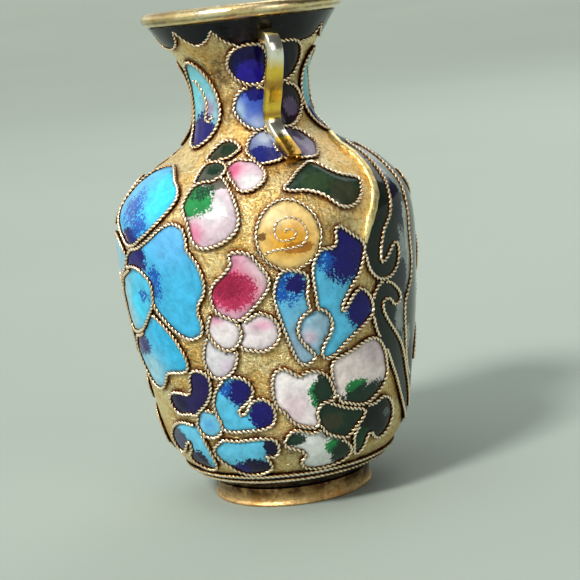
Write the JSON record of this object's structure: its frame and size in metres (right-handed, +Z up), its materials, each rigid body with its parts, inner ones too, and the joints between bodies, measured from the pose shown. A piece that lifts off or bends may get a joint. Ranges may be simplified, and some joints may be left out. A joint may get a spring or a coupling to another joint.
{
  "type": "cloisonne vase",
  "caption": "Miniature gilt baluster vase with flared lip, two strap handles and enamelled flowers set in raised twisted wires.",
  "frame": {"origin": "centre of the foot's underside", "axes": "+Z up along the vessel's axis, +X through the middle of the right handle, -Y towards the front flower"},
  "size_m": [0.0394, 0.0394, 0.064],
  "materials": {
    "enamel_amber": "glossy",
    "enamel_blue": "glossy",
    "enamel_cobalt": "glossy",
    "enamel_green": "glossy",
    "enamel_lining": "glossy",
    "enamel_navy": "glossy",
    "enamel_neck": "glossy",
    "enamel_panel": "glossy",
    "enamel_pink": "glossy",
    "enamel_rose": "glossy",
    "enamel_turquoise": "glossy",
    "enamel_white": "glossy",
    "enamel_white_green": "glossy",
    "gilt_copper": "satin gilt",
    "gilt_handle": "polished gilt",
    "gilt_wire": "gilt, twisted"
  },
  "bodies": {
    "root": {"back_panel_border": "gilt_wire", "back_panel_flower_enamel": "enamel_white", "back_panel_flower_wires": "gilt_wire", "back_panel_ground": "enamel_panel", "base_counter_enamel": "enamel_lining", "base_enamel": "enamel_navy", "base_plate": "gilt_copper", "base_wires": "gilt_wire", "belly_lining": "enamel_lining", "belly_shell": "gilt_copper", "collar_enamel": "enamel_navy", "collar_wire": "gilt_wire", "foot_ring": "gilt_copper", "front_flower_enamel": "enamel_turquoise", "front_flower_wires": "gilt_wire", "left_blossom_enamel": "enamel_blue", "left_blossom_wires": "gilt_wire", "left_bud_enamel": "enamel_pink", "left_bud_wires": "gilt_wire", "left_butterfly_enamel": "enamel_turquoise", "left_butterfly_wires": "gilt_wire", "left_disc_enamel": "enamel_amber", "left_disc_wires": "gilt_wire", "left_foliage_enamel": "enamel_white_green", "left_foliage_wires": "gilt_wire", "left_handle": "gilt_handle", "left_leaf_enamel": "enamel_green", "left_leaf_wires": "gilt_wire", "left_palmette_enamel": "enamel_cobalt", "left_palmette_wires": "gilt_wire", "left_rose_enamel": "enamel_rose", "left_rose_wires": "gilt_wire", "lip_ring": "gilt_copper", "neck_back_enamel": "enamel_neck", "neck_back_wires": "gilt_wire", "neck_front_enamel": "enamel_neck", "neck_front_wires": "gilt_wire", "neck_lining": "enamel_lining", "neck_shell": "gilt_copper", "right_blossom_enamel": "enamel_blue", "right_blossom_wires": "gilt_wire", "right_bud_enamel": "enamel_pink", "right_bud_wires": "gilt_wire", "right_butterfly_enamel": "enamel_turquoise", "right_butterfly_wires": "gilt_wire", "right_disc_enamel": "enamel_amber", "right_disc_wires": "gilt_wire", "right_foliage_enamel": "enamel_white_green", "right_foliage_wires": "gilt_wire", "right_handle": "gilt_handle", "right_leaf_enamel": "enamel_green", "right_leaf_wires": "gilt_wire", "right_palmette_enamel": "enamel_cobalt", "right_palmette_wires": "gilt_wire", "right_rose_enamel": "enamel_rose", "right_rose_wires": "gilt_wire"}
  },
  "joints": []
}
